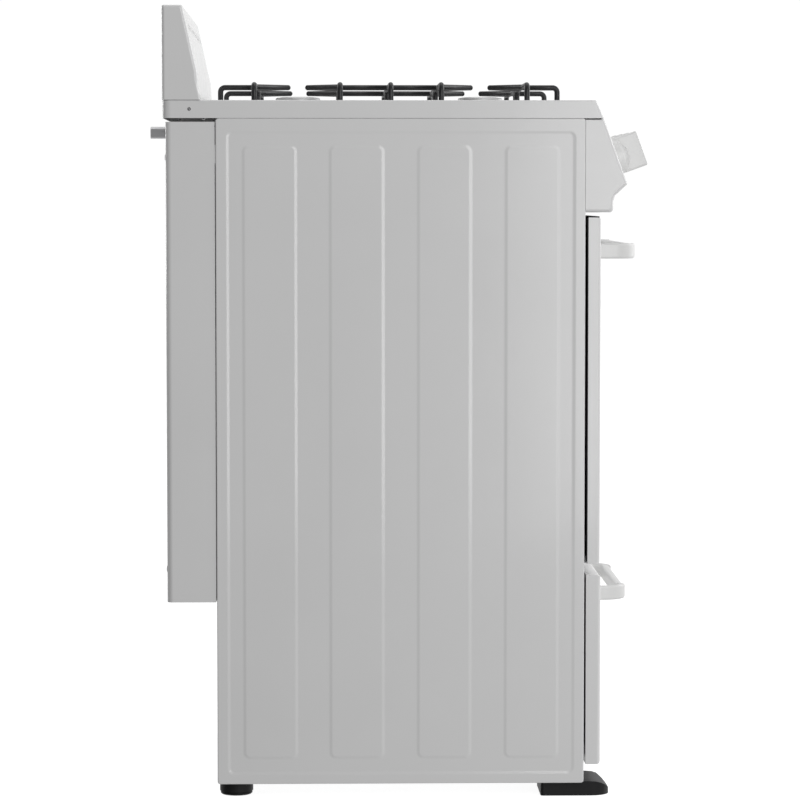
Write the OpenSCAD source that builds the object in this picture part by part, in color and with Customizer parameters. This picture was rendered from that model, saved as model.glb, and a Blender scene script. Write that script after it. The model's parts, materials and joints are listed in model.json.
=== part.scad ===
// Freestanding 20-inch gas range: four burners, oven with drop-down door, broiler drawer.
// X runs to the right seen from the front, the front faces -Y, the floor is Z = 0.

/* [Body] */
// Width over the side panels
body_w = 508; // [500:2:520]
// Front edge of the side panels, measured from the centre line
body_front = 241.6; // [240:0.1:242]
// Rear edge of the side panels
body_rear = 239.4; // [236:0.1:244]
// Height of the side panels' bottom edge
body_bottom = 19; // [18:1:20]
// Height of the side panels' top edge
body_top = 890.4; // [889:0.1:890.4]
// Thickness of the body sheet
sheet = 1.2; // [1:0.1:1.4]
// Depth of the pressed field in each side panel
emboss = 0.8; // [0.6:0.1:0.9]

/* [Cooktop] */
// Height of the cooktop rim above the floor
top_z = 914; // [912:1:916]
// Distance of each burner from the centre line
burner_x = 127; // [122:1:130]
// Middle of the burner group, behind the centre
burner_mid = 11.7; // [10:0.1:13]
// Distance of each burner from the middle of the group
burner_reach = 121.7; // [120:0.1:123]
// Depth of the cooktop well below the rim
well_depth = 9; // [7:0.5:10]
// Height of the backguard's top edge
guard_top = 1036.6; // [1020:1:1045]

/* [Grates] */
// Diameter of the grate rod
grate_rod = 7.2; // [6:0.1:7.2]
// Height of the top of the grates
grate_top = 938; // [934:1:942]

/* [Controls] */
// Slope of the control panel from the vertical
panel_tilt = 20; // [19:0.5:21]
// Distance between knob axes
knob_pitch = 95; // [90:1:96]
// Length of the knob's grip bar
knob_d = 47.4; // [44:0.2:47.6]
// Height of the knob's face over the panel
knob_h = 38.9; // [36:0.1:40]

/* [Oven] */
// Inside width of the oven
oven_w = 400; // [390:2:400]
// Height of the oven floor
oven_floor_z = 345; // [345:1:350]
// Height of the oven ceiling
oven_top_z = 735; // [725:1:735]
// Inside rear wall of the oven
oven_rear = 190; // [186:1:190]

/* [Door and drawer] */
// Width of the door and the drawer front
front_w = 504; // [500:1:505]
// Bottom edge of the oven door
door_z0 = 308.3; // [308:0.1:310]
// Top edge of the oven door
door_z1 = 761.9; // [758:0.1:763]
// Outer face of the oven door
door_face = 262.1; // [261:0.1:263]
// Bottom edge of the drawer front
drawer_z0 = 43.4; // [42:0.1:46]
// Top edge of the drawer front
drawer_z1 = 293.7; // [290:0.1:294]
// Outer face of the drawer front
drawer_face = 263.5; // [262:0.1:264]

/* [Hidden] */
$fn = 48;

half_w = body_w / 2;
inner_x = half_w - emboss - sheet - 0.2;   // widest the inside fittings reach
skirt_z = body_top + 0.2;
cover_y = 304.5;                           // rear cover's outer face
top_rear = 308.5;                          // rear edge of the cooktop and the backguard
well_z = top_z - well_depth;
dish_z = well_z - 2.5;
dish_r = 70;
head_h = 13.2;                             // height of a burner head
rod_r = grate_rod / 2;
rod_z = grate_top - rod_r;
rail_r = rod_r + 0.1;
spine_z = rod_z - 0.4;                     // front-to-back rods lie a little lower
frame_y = -body_front + sheet;             // front frame's outer face
burner_front = burner_mid - burner_reach;  // front burners' place
burner_rear = burner_mid + burner_reach;   // rear burners' place
foot_x = 213;                              // rear feet's place
foot_y = 215.6;
burner_ys = [burner_front, burner_rear];

// Control panel outline, and the place of the knobs on its slope
panel_top = [-265.85, 889.3];
knob_down = 52.45;      // knob axis below the panel's top edge, along the slope
knob_y = panel_top[0] - knob_down * sin(panel_tilt);
knob_z = panel_top[1] - knob_down * cos(panel_tilt);
panel_gap = 0.4;       // knob's rear edge over the panel
recess_r = 24.6;       // round recess that the knob sinks into when pushed
recess_h = 3.4;        // depth of that recess, more than the knob's push
front_extreme = knob_y - knob_h * cos(panel_tilt) - knob_d / 2 * sin(panel_tilt);
stem_r = 3;
valve_in = 12;         // valve's nose below the panel surface
valve_end = 50;        // valve's tail below the panel surface
manifold_r = 10.5;
manifold_in = valve_end + manifold_r + 0.3;
manifold_y = knob_y + manifold_in * cos(panel_tilt);
manifold_z = knob_z - manifold_in * sin(panel_tilt);

// Oven door hinge
pivot_y = -248;
pivot_z = 314;
pin_r = 4;
hinge_x = 234;
door_back = -245.8;

// Gas supply
inlet_x = -150;
inlet_z = 873.5;
inlet_r = 7.94;
pipe_y = 272;
pipe_x = -230;

// Drawer
tray_w = 400;
tray_z0 = 60;
tray_z1 = 150;
drawer_back = -244;

// ---- helpers ----

function unit(v) = v / norm(v);
function left_of(v) = [-v[1], v[0]];

// Arc that replaces corner b between a and c
function corner_arc(a, b, c, r, n) = r <= 0 ? [b] :
    let (u = unit(a - b), v = unit(c - b), half = acos(u * v) / 2,
         centre = b + unit(u + v) * r / sin(half),
         p = b + u * r / tan(half) - centre, q = b + v * r / tan(half) - centre,
         a0 = atan2(p[1], p[0]), turn = atan2(q[1], q[0]) - a0,
         sweep = turn > 180 ? turn - 360 : turn < -180 ? turn + 360 : turn)
    [for (i = [0:n]) centre + r * [cos(a0 + sweep * i / n), sin(a0 + sweep * i / n)]];

// Outline with its corners rounded, each with its own radius
function rounded(pts, radii, n = 6) = let (k = len(pts))
    [for (i = [0:k - 1])
        each corner_arc(pts[(i + k - 1) % k], pts[i], pts[(i + 1) % k], radii[i], n)];

// Counter-clockwise outline moved inwards by d
function inset(pts, d) = let (k = len(pts))
    [for (i = [0:k - 1])
        let (n1 = left_of(unit(pts[i] - pts[(i + k - 1) % k])),
             n2 = left_of(unit(pts[(i + 1) % k] - pts[i])))
        pts[i] + d * (n1 + n2) / (1 + n1 * n2)];

// Rectangle outline from corner a to corner b with radius r
function box_outline(a, b, r = 0) =
    rounded([a, [b[0], a[1]], b, [a[0], b[1]]], [r, r, r, r]);

// Outline in Y and Z, carried along X from x0 for a thickness t
module along_x(x0, t) translate([x0, 0, 0]) rotate([90, 0, 90]) linear_extrude(t) children();

// The same, centred on X = 0
module across(w) along_x(-w / 2, w) children();

// Outline in X and Z, carried along Y from y0 for a thickness t
module along_y(y0, t) translate([0, y0 + t, 0]) rotate([90, 0, 0]) linear_extrude(t) children();

// Block between two corners
module block(a, b) translate(a) cube(b - a);

// Block mirrored to both sides of the centre plane
module pair() {
    children();
    mirror([1, 0, 0]) children();
}

// Straight round bar from a to b
module rod(a, b, r) {
    d = b - a;
    translate(a)
        rotate([0, acos(d[2] / norm(d)), atan2(d[1], d[0])])
            cylinder(h = norm(d), r = r);
}

// Pipe through a list of points, with ball corners
module pipe(pts, r) {
    for (i = [0:len(pts) - 2]) rod(pts[i], pts[i + 1], r);
    for (i = [1:len(pts) - 2]) translate(pts[i]) sphere(r);
}

// Frame that places its children on the control panel's slope, +Z outwards, +Y up the slope
module on_panel(x) translate([x, knob_y, knob_z]) rotate([90 - panel_tilt, 0, 0]) children();

function knob_x(k) = (k - 3) * knob_pitch;

// ---- cabinet ----

module side_panel() {
    outer = box_outline([-body_front, body_bottom], [body_rear, body_top], 4);
    low = [-227.1, 33.3];
    high = [223.9, 872.3];
    lap = [sheet, sheet];
    field = box_outline(low, high, 7);
    field_edge = box_outline(low - lap, high + lap, 8);
    ribs = [[135.4, 203.4], [21.8, 90.6], [-92, -24], [-206.6, -138.1]];
    along_x(-half_w, sheet) difference() {
        polygon(outer);
        polygon(field);
    }
    along_x(-half_w + emboss, sheet) polygon(field_edge);
    for (rib = ribs)
        along_x(-half_w, sheet) polygon(box_outline([rib[0], 54], [rib[1], 853.9], 7));
    for (y = [-body_front, body_rear - sheet])
        block([-half_w, y, body_bottom + 4], [-half_w + 14, y + sheet, body_top - 4]);
}

module side_panel_left() color("gainsboro") side_panel();

module side_panel_right() color("gainsboro") mirror([1, 0, 0]) side_panel();

module base_frame() color("dimgray") {
    z0 = body_bottom;
    z1 = 43;
    web = 1.5;
    flange = 24;
    y0 = frame_y + sheet;
    y1 = body_rear - 2 * sheet;
    difference() {
        block([-inner_x, y0, z0], [inner_x, y1, z1]);
        block([-inner_x + flange, y0 + flange, z0 - 1], [inner_x - flange, y1 - flange, z1 + 1]);
        block([-inner_x + web, y0 + web, z0 + web], [inner_x - web, y1 - web, z1 - web]);
        for (x = [-foot_x, foot_x]) translate([x, foot_y, z0 - 1]) cylinder(h = 30, r = 4.3);
    }
}

module front_frame() color("dimgray") difference() {
    block([-half_w + sheet + 0.4, frame_y, 21], [half_w - sheet - 0.4, frame_y + sheet, 888]);
    block([-226, -300, 776], [226, 0, 878]);
    block([-oven_w / 2 - 1.6, -300, oven_floor_z - 1.8], [oven_w / 2 + 1.6, 0, oven_top_z + 1.8]);
    block([-224, -300, 47], [224, 0, 290]);
    pair() block([hinge_x - 3, -300, 306], [hinge_x + 3, 0, 322]);
}

module rear_panel() color("silver") difference() {
    y0 = body_rear - 2 * sheet;
    block([-half_w + sheet + 0.4, y0, 21], [half_w - sheet - 0.4, y0 + sheet, 888]);
    block([-63, 0, 709], [63, 300, 733]);
    translate([pipe_x, 200, manifold_z]) rotate([-90, 0, 0]) cylinder(h = 100, r = 9.5);
    for (x = [-160:40:160]) block([x - 12, 0, 190], [x + 12, 300, 196]);
}

module rear_cover() color("gainsboro") {
    x1 = 252;
    y0 = body_rear + 0.9;
    y1 = cover_y;
    z0 = 259;
    z1 = 885.8;
    difference() {
        translate([0, 0, z0]) linear_extrude(z1 - z0)
            polygon(rounded([[-x1, y0], [x1, y0], [x1, y1], [-x1, y1]], [0, 0, 8, 8]));
        translate([0, 0, z0 + sheet]) linear_extrude(z1 - z0 - 2 * sheet)
            polygon(rounded([[-x1 + sheet, y0 - 1], [x1 - sheet, y0 - 1],
                             [x1 - sheet, y1 - sheet], [-x1 + sheet, y1 - sheet]], [0, 0, 7, 7]));
        block([-66, y0 - 1, z1 - 10], [66, 294, z1 + 1]);
        translate([inlet_x, 290, inlet_z]) rotate([-90, 0, 0]) cylinder(h = 30, r = inlet_r + 0.7);
        for (x = [-200:25:200]) block([x - 7, 290, 290], [x + 7, 320, 296]);
    }
    // tabs that meet the side panels
    pair() block([x1 - sheet, body_rear, 832], [x1, y0 + 1, 856]);
}

module burner_box_floor() color("silver") {
    z = oven_top_z + 33;
    block([-inner_x, frame_y + sheet, z], [inner_x, 224, z + sheet]);
    pair() block([inner_x - sheet, frame_y + sheet, z], [inner_x, 224, z + 14]);
}

module cooktop() color("whitesmoke") {
    outline = [[-265.3, skirt_z], [top_rear, skirt_z], [top_rear, top_z], [-255.8, top_z]];
    inner = inset(outline, sheet);
    well = box_outline([-246, -236], [246, 248], 14);
    well_in = box_outline([-246 + sheet, -236 + sheet], [246 - sheet, 248 - sheet], 13);
    difference() {
        intersection() {
            across(body_w) polygon(rounded(outline, [0, 0, 2, 3]));
            linear_extrude(1000)
                polygon(rounded([[-half_w, -270], [half_w, -270],
                                 [half_w, top_rear], [-half_w, top_rear]], [4, 4, 11, 11]));
        }
        intersection() {
            across(body_w - 2 * sheet)
                polygon(concat([inner[0] - [0, 5], inner[1] - [0, 5]], [inner[2], inner[3]]));
            linear_extrude(1000)
                polygon(rounded([[-half_w, -270], [half_w, -270],
                                 [half_w, top_rear - sheet], [-half_w, top_rear - sheet]],
                                [4, 4, 10, 10]));
        }
        translate([0, 0, well_z]) linear_extrude(50) polygon(well_in);
        block([-70, 262, 900], [70, 296, 920]);
        for (x = [-half_w, half_w]) translate([x - 4, 273.3, 902.2])
            rotate([0, 90, 0]) cylinder(h = 8, r = 2.2);
    }
    difference() {
        union() {
            translate([0, 0, well_z - sheet]) linear_extrude(well_depth) polygon(well);
            for (x = [-burner_x, burner_x], y = burner_ys) translate([x, y, dish_z - sheet])
                cylinder(h = sheet + 2.5, r = dish_r + sheet);
        }
        translate([0, 0, well_z]) linear_extrude(50) polygon(well_in);
        for (x = [-burner_x, burner_x], y = burner_ys) {
            translate([x, y, dish_z]) cylinder(h = 20, r = dish_r);
            translate([x, y, dish_z - 5]) cylinder(h = 20, r = 20);
        }
    }
}

module backguard() color("whitesmoke") {
    base = top_z + 0.2;
    outline = [[258.2, base], [top_rear, base], [top_rear, guard_top], [281.6, guard_top],
               [262.6, 950], [261.6, 931]];
    hollow = inset(outline, sheet);
    difference() {
        across(body_w) polygon(rounded(outline, [0, 0, 2, 3, 20, 4]));
        across(body_w - 2 * sheet)
            polygon(rounded(concat([hollow[0] - [0, 5], hollow[1] - [0, 5]],
                                   [for (i = [2:5]) hollow[i]]), [0, 0, 1, 2, 20, 4]));
        // eight groups of vent slots near the top
        for (group = [0:7], slot = [0:4])
            block([-206 + group * 54.5 + slot * 7, 260, guard_top - 30],
                  [-203 + group * 54.5 + slot * 7, 296, guard_top - 21]);
    }
}

module vent_baffle() color("black")
    block([-half_w + 8, 298, 960], [half_w - 8, 299.2, guard_top - 6]);

// ---- controls ----

module control_panel() color("whitesmoke") {
    wall = 2;
    back = -body_front - 0.05;
    floor_t = 1.6;
    outline = [[back, 768.5], [back, panel_top[1]], panel_top, [-296.4, 805.2],
               [-280.2, 790.4], [-277.9, 783.5], [-277.9, 768.5]];
    inner = inset(outline, wall);
    difference() {
        across(body_w) polygon(rounded(outline, [0, 0, 1.5, 2.5, 5, 3, 5]));
        across(body_w - 2 * wall)
            polygon([for (i = [0:6]) i < 2 ? inner[i] + [wall + 2, 0] : inner[i]]);
        for (k = [1:5]) on_panel(knob_x(k)) translate([0, 0, -10]) cylinder(h = 20, r = recess_r);
    }
    // recess cups round the stems
    for (k = [1:5]) on_panel(knob_x(k)) translate([0, 0, -recess_h]) difference() {
        translate([0, 0, -floor_t]) cylinder(h = recess_h + floor_t - 0.5, r = recess_r + wall);
        cylinder(h = 10, r = recess_r);
        translate([0, 0, -5]) cylinder(h = 10, r = 6);
    }
}

module gas_manifold() color("slategray") {
    translate([0, manifold_y, manifold_z]) rotate([0, 90, 0])
        cylinder(h = 440, r = manifold_r, center = true);
    block([pipe_x - 9, manifold_y - 9, manifold_z - 9], [-220, manifold_y + 9, manifold_z + 9]);
}

// Valve body with a blind bore for the stem
module valve(size) difference() {
    translate([-size / 2, -size / 2, -valve_end]) cube([size, size, valve_end - valve_in]);
    translate([0, 0, -valve_in - 14]) cylinder(h = 30, r = stem_r + 0.05);
}

module burner_valves() color("goldenrod") for (k = [1, 2, 4, 5]) on_panel(knob_x(k)) valve(20);

module oven_thermostat() color("silver") on_panel(knob_x(3)) valve(34);

module stem(k) color("silver") on_panel(knob_x(k)) translate([0, 0, -valve_in - 6])
    cylinder(h = valve_in + 30, r = stem_r);

module stem_1() stem(1);
module stem_2() stem(2);
module stem_3() stem(3);
module stem_4() stem(4);
module stem_5() stem(5);

// Knob: a round skirt with a raised grip bar across it
module knob(k) color("white") on_panel(knob_x(k)) difference() {
    union() {
        rotate_extrude() polygon(rounded([[0, panel_gap], [24, panel_gap], [23.4, 15.5], [0, 15.5]],
                                         [0, 0, 2, 0]));
        intersection() {
            cylinder(h = knob_h, r = knob_d / 2);
            translate([0, 0, 14]) linear_extrude(knob_h - 14)
                polygon(rounded([[-8, -30], [8, -30], [6.5, 30], [-6.5, 30]], [3, 3, 3, 3]));
        }
    }
    translate([0, 0, -1]) cylinder(h = 26, r = stem_r + 0.05);
}

module knob_1() knob(1);
module knob_2() knob(2);
module knob_3() knob(3);
module knob_4() knob(4);
module knob_5() knob(5);

// ---- gas supply and burners ----

module gas_supply_pipe() color("slategray") {
    fitting = 9;
    pipe([[pipe_x, manifold_y + 9, manifold_z], [pipe_x, pipe_y, manifold_z],
          [inlet_x, pipe_y, manifold_z], [inlet_x, pipe_y, 832]], 8);
    rod([inlet_x, pipe_y, 858], [inlet_x, pipe_y, inlet_z - fitting], 8);
    block([inlet_x - fitting, pipe_y - fitting, inlet_z - fitting],
          [inlet_x + fitting, pipe_y + fitting, inlet_z + fitting]);
}

module gas_regulator() color("silver") translate([inlet_x, pipe_y, 832]) {
    cylinder(h = 26, r = 14);
    translate([0, 0, 6]) cylinder(h = 14, r = 26);
}

module gas_inlet() color("silver") {
    rod([inlet_x, pipe_y + 9, inlet_z], [inlet_x, cover_y + 1, inlet_z], inlet_r - 0.8);
    rod([inlet_x, cover_y + 1, inlet_z], [inlet_x, -front_extreme, inlet_z], inlet_r);
}

// Mixing tubes: the rear burners' tubes run beside the front burners
module burner_tubes() color("lightsteelblue") for (s = [-1, 1]) {
    tube_z = 866;
    for (y = burner_ys) translate([s * burner_x, y, tube_z - 12])
        cylinder(h = dish_z - tube_z + 12, r = 18);
    rod([s * burner_x, -205, tube_z], [s * burner_x, burner_front, tube_z], 9);
    pipe([[s * 92, -205, tube_z], [s * 92, burner_rear, tube_z],
          [s * burner_x, burner_rear, tube_z]], 9);
}

module burner_heads() color("lightgray")
    for (x = [-burner_x, burner_x], y = burner_ys) translate([x, y, dish_z])
        rotate_extrude() polygon([[12, 0], [33, 0], [31, head_h], [12, head_h]]);

module burner_caps() color("lightgray")
    for (x = [-burner_x, burner_x], y = burner_ys) translate([x, y, dish_z + head_h])
        rotate_extrude() polygon(rounded([[0, 0], [30.2, 0], [29, 4.4], [0, 6.4]], [0, 0, 2, 0]));

module igniters() color("ivory")
    for (x = [-burner_x, burner_x], y = burner_ys) translate([x + sign(x) * 36, y, dish_z])
        cylinder(h = 13, r = 3);

// ---- oven ----

module oven_liner() color("dimgray") {
    x = oven_w / 2;
    difference() {
        union() {
            block([-x - sheet, frame_y, oven_floor_z - sheet],
                  [x + sheet, oven_rear + sheet, oven_top_z + sheet]);
            block([-x - 16, -body_front, oven_floor_z - 16], [x + 16, frame_y, oven_top_z + 16]);
        }
        block([-x, -300, oven_floor_z], [x, oven_rear, oven_top_z]);
        block([-x + 18, -212, 300], [x - 18, oven_rear - 24, oven_floor_z + 1]);
        block([-60, 100, 711.2], [60, 300, 730.8]);
    }
}

module oven_floor() color("dimgray") difference() {
    x = oven_w / 2 - 1;
    block([-x, -228, oven_floor_z], [x, oven_rear - 2, oven_floor_z + sheet]);
    for (s = [-1, 1], y = [-180:40:140]) block([s * 160 - 4, y, 300], [s * 160 + 4, y + 26, 400]);
}

module oven_insulation() color("khaki") {
    x = oven_w / 2 + sheet;
    z = oven_top_z + sheet;
    difference() {
        block([-x - 28, frame_y + 4, oven_floor_z - 1], [x + 28, 221, z + 29]);
        block([-x, -300, 300], [x, oven_rear + sheet, z]);
        block([-62, 100, 710], [62, 300, 732]);
        pair() block([hinge_x - 10, -300, 290], [hinge_x + 10, -220, 350]);
    }
}

module oven_burner() color("slategray") {
    rod([0, -190, 322], [0, 160, 322], 11);
    pipe([[0, 160, 322], [-100, 160, 322], [-100, 229, 322], [-100, 229, 790],
          [-100, manifold_y, 790], [-100, manifold_y, manifold_z - manifold_r + 0.2]], 4);
}

module flame_spreader() color("dimgray") along_y(-200, 370)
    polygon([[-120, 334], [0, 340], [120, 334], [120, 335.2], [0, 341.2], [-120, 335.2]]);

module flue_duct() color("silver") difference() {
    union() {
        block([-62, oven_rear + sheet, 710], [62, 250, 732]);
        block([-62, 243, 710], [62, 290, 888]);
    }
    block([-60.8, 100, 711.2], [60.8, 280, 730.8]);
    block([-60.8, 244.2, 711.2], [60.8, 288.8, 900]);
}

module rack_guides() color("silver") pair() {
    x = oven_w / 2 - 0.2;
    block([x - sheet, -190, 420], [x, 180, 700]);
    for (z = [440:80:680]) block([x - 12, -190, z - 4], [x - sheet, 180, z]);
}

// Oven rack whose side rods lie on the guides at height z
module rack(z) color("silver") {
    x = oven_w / 2 - 6.5;
    y0 = -194;
    y1 = 186;
    r = 3;
    zc = z + r + 0.1;
    bar_r = 2.6;
    for (xs = [-x, x]) rod([xs, y0 - r, zc], [xs, y1 + r, zc], r);
    for (y = [y0, -60, 60, y1]) rod([-x, y, zc], [x, y, zc], bar_r);
    for (i = [-6:6]) rod([i * 28, y0 - 1, zc + bar_r], [i * 28, y1 + 1, zc + bar_r], 1.8);
}

module rack_upper() rack(600);

module rack_lower() rack(440);

// ---- oven door ----

// Shallow pan with rounded front edges, open at the back
module front_pan(z0, z1, face, back, r) {
    x = front_w / 2;
    module solid(d) intersection() {
        across(front_w - 2 * d)
            polygon(rounded([[-face + d, z0 + d], [back + d * 9, z0 + d],
                             [back + d * 9, z1 - d], [-face + d, z1 - d]], [r, 0, 0, r]));
        linear_extrude(1000)
            polygon(rounded([[-x + d, -face + d], [x - d, -face + d],
                             [x - d, back + d * 9], [-x + d, back + d * 9]], [r, r, 0, 0]));
    }
    difference() {
        solid(0);
        solid(sheet);
    }
}

module door_outer_panel() color("whitesmoke") difference() {
    front_pan(door_z0, door_z1, door_face, door_back, 4);
    along_y(-300, 50) polygon(box_outline([-150, 428], [150, 642], 12));
    pair() block([hinge_x - 8, -258, 300], [hinge_x + 8, -240, 312]);
}

module door_outer_glass() color("black")
    block([-165, -door_face + sheet, 412], [165, -door_face + sheet + 4, 658]);

module door_inner_panel() color("black") {
    z0 = pivot_z - 2;
    difference() {
        block([-front_w / 2 + 2, door_back, z0], [front_w / 2 - 2, door_back + sheet, door_z1 - 2]);
        block([-184, -300, 364], [184, 0, 716]);
        pair() block([hinge_x - 10, -300, 300], [hinge_x + 10, 0, 345]);
    }
    difference() {
        block([-185.2, door_back, 362.8], [185.2, -233, 717.2]);
        block([-184, -300, 364], [184, -234.2, 716]);
        along_y(-240, 20) polygon(box_outline([-140, 440], [140, 630], 10));
    }
}

module door_inner_glass() color("gray") block([-155, -238.4, 425], [155, -234.2, 645]);

module door_gasket() color("black") difference() {
    y0 = door_back + sheet;
    block([-208, y0, 338], [208, y0 + 3, 742]);
    block([-196, y0 - 1, 350], [196, y0 + 5, 730]);
}

// Bar handle with ends that curve back to the face behind it
module bow_handle(half, face, tip, z, h) {
    t = 14;
    bend_r = 24;
    cx = half - bend_r - t / 2;
    bar_y = -tip + t / 2;
    // flat towards the face, full round on the outside
    module section() polygon(rounded([[-t / 2, -h / 2], [t / 2, -h / 2], [t / 2, h / 2],
                                      [-t / 2, h / 2]], [h / 2 - 0.6, 3, 3, h / 2 - 0.6], 8));
    translate([-cx, bar_y, z]) rotate([90, 0, 90]) linear_extrude(2 * cx) section();
    pair() {
        translate([cx, bar_y + bend_r, z]) rotate([0, 0, -90]) rotate_extrude(angle = 90)
            translate([bend_r, 0]) section();
        translate([cx + bend_r, bar_y + bend_r, z]) rotate([-90, 0, 0])
            linear_extrude(-face - bar_y - bend_r) section();
    }
}

module door_handle() color("white") bow_handle(213, door_face, 312.4, 717.5, 20);

module door_hinge_arms() color("slategray") pair() difference() {
    union() {
        for (x = [hinge_x - 6, hinge_x + 3]) {
            translate([x, pivot_y, pivot_z]) rotate([0, 90, 0]) cylinder(h = 3, r = 6);
            block([x, -257.5, 314], [x + 3, -249, 430]);
            block([x, -252, 314], [x + 3, -247, 340]);
        }
        block([hinge_x - 6, -259.5, 330], [hinge_x + 6, -257.5, 430]);
    }
    translate([hinge_x - 20, pivot_y, pivot_z]) rotate([0, 90, 0])
        cylinder(h = 40, r = pin_r + 0.05);
}

module hinge_brackets() color("slategray") pair() difference() {
    union() {
        block([hinge_x - 8, frame_y + sheet, 296], [hinge_x + 8, frame_y + sheet + 2, 332]);
        block([hinge_x - 2, pivot_y, 308], [hinge_x + 2, frame_y + sheet, 320]);
        translate([hinge_x - 2, pivot_y, pivot_z]) rotate([0, 90, 0]) cylinder(h = 4, r = 6);
    }
    translate([hinge_x - 20, pivot_y, pivot_z]) rotate([0, 90, 0])
        cylinder(h = 40, r = pin_r + 0.02);
}

module hinge_pins() color("silver") pair()
    translate([hinge_x - 7, pivot_y, pivot_z]) rotate([0, 90, 0]) cylinder(h = 14, r = pin_r);

// ---- drawer ----

module drawer_front() color("whitesmoke") {
    front_pan(drawer_z0, drawer_z1, drawer_face, drawer_back, 4.5);
    block([-front_w / 2 + 2, drawer_back - sheet, drawer_z0 + 1],
          [front_w / 2 - 2, drawer_back, drawer_z1 - 1]);
}

module drawer_tray() color("silver") {
    x = tray_w / 2;
    difference() {
        block([-x, drawer_back, tray_z0], [x, 180, tray_z1]);
        block([-x + 1, drawer_back + 1, tray_z0 + 1], [x - 1, 179, tray_z1 + 1]);
    }
    pair() block([x, drawer_back + 6, 106], [x + 14, 180, 108]);
}

module drawer_handle() color("white") bow_handle(139, drawer_face, 308.6, 256, 19.5);

module drawer_rails() color("slategray") pair() {
    difference() {
        block([206, -236, 98], [228, 200, 118]);
        block([204, -240, 100], [226, 210, 116]);
    }
    for (y = [-200, 160]) block([228, y, 100], [inner_x, y + 20, 116]);
}

module broiler_pan() color("dimgray") difference() {
    block([-150, -190, tray_z0 + 1], [150, 110, tray_z0 + 26]);
    block([-148.8, -188.8, tray_z0 + 2.2], [148.8, 108.8, tray_z0 + 30]);
}

module broiler_grid() color("dimgray") difference() {
    block([-152, -192, tray_z0 + 26], [152, 112, tray_z0 + 27.2]);
    for (x = [-120:30:120], y = [-170:65:90]) block([x - 3, y, 0], [x + 3, y + 48, 200]);
}

// ---- feet and fasteners ----

module front_feet() color("black") pair() {
    arc_r = 266;
    outer_x = half_w - 12;
    tip = 277.5;
    intersection() {
        translate([-outer_x, arc_r - tip, 0]) cylinder(h = body_bottom, r = arc_r, $fn = 180);
        linear_extrude(body_bottom)
            polygon(rounded([[-outer_x, -tip], [-163, -tip], [-163, -186], [-outer_x, -186]],
                            [25, 6, 4, 4]));
        // the top runs down to the toe
        across(body_w) polygon([[-186, 0], [-276.5, 0], [-tip, 1], [-tip, 6.5], [-275.5, 9.6],
                                [-271.5, 13.2], [-266, 16.3], [-259, 18.4], [-251, body_bottom],
                                [-186, body_bottom]]);
    }
}

module rear_feet() color("black") for (x = [-foot_x, foot_x]) translate([x, foot_y, 0]) {
    rotate_extrude() polygon([[0, 0], [19.5, 0], [21, 1.4], [21, 2.6], [20.4, 3], [20.4, 3.6],
                              [22, 4.4], [22, body_bottom], [0, body_bottom]]);
    cylinder(h = body_bottom + 18, r = 4);
}

module screws() color("dimgray") {
    pair() translate([-half_w + 0.4, 273.3, 902.2]) rotate([0, 90, 0]) cylinder(h = 8, r = 2);
    for (x = [-220, 0, 220], z = [300, 840]) translate([x, 304.5, z])
        rotate([-90, 0, 0]) cylinder(h = 1.8, r = 4);
}

// ---- grates ----

// Quarter bend from the -X direction down to -Z, centred on the bend
module down_bend(r) rotate([90, 0, 0]) rotate_extrude(angle = 90) translate([r, 0]) circle(rod_r);

// Rod across the grate with both ends bent down as legs
module staple(half, y) {
    r = 9;
    pair() {
        rod([0, y, rod_z], [half - r, y, rod_z], rod_r);
        translate([half - r, y, rod_z - r]) down_bend(r);
        rod([half, y, well_z + rail_r], [half, y, rod_z - r], rod_r);
    }
}

// Front-to-back rod from y0 to its bent-down end at y1
module spine_end(y0, y1) {
    s = sign(y1 - y0);
    r = 6;
    rod([0, y0, spine_z], [0, y1 - s * r, spine_z], rod_r);
    translate([0, y1 - s * r, spine_z - r]) rotate([0, 0, s * 90]) down_bend(r);
    rod([0, y1, well_z], [0, y1, spine_z - r], rod_r);
}

// Two fingers that meet over the burner at y1
module finger_pair(y0, y1) {
    for (x = [-33, 33]) rod([x, y0, spine_z], [0, y1, spine_z], rod_r - 0.1);
    translate([0, y1, spine_z]) sphere(rod_r);
}

module grate() color("black") {
    half = 111;          // leg's distance from the grate's middle
    outer = 177.6;       // outer staples' distance from the middle of the group
    inner = 65.9;        // inner staples' distance from it
    end = 228.3 - rod_r; // end legs' distance from it
    tip = 13.2;          // finger tips' distance from the burner's axis
    translate([0, burner_mid, 0]) {
        for (y = [-outer, -inner, 0, inner, outer]) staple(half, y);
        // foot rails in the well that join the staples
        for (x = [-half, half])
            rod([x, -outer - 6, well_z + rail_r], [x, outer + 6, well_z + rail_r], rail_r);
        rod([0, -inner, spine_z], [0, inner, spine_z], rod_r);
        for (s = [-1, 1]) {
            spine_end(s * outer, s * end);
            finger_pair(s * outer, s * (burner_reach + tip));
            finger_pair(s * inner, s * (burner_reach - tip));
        }
    }
}

module grate_left() translate([-burner_x, 0, 0]) grate();

module grate_right() translate([burner_x, 0, 0]) grate();

// ---- nodes ----

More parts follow.
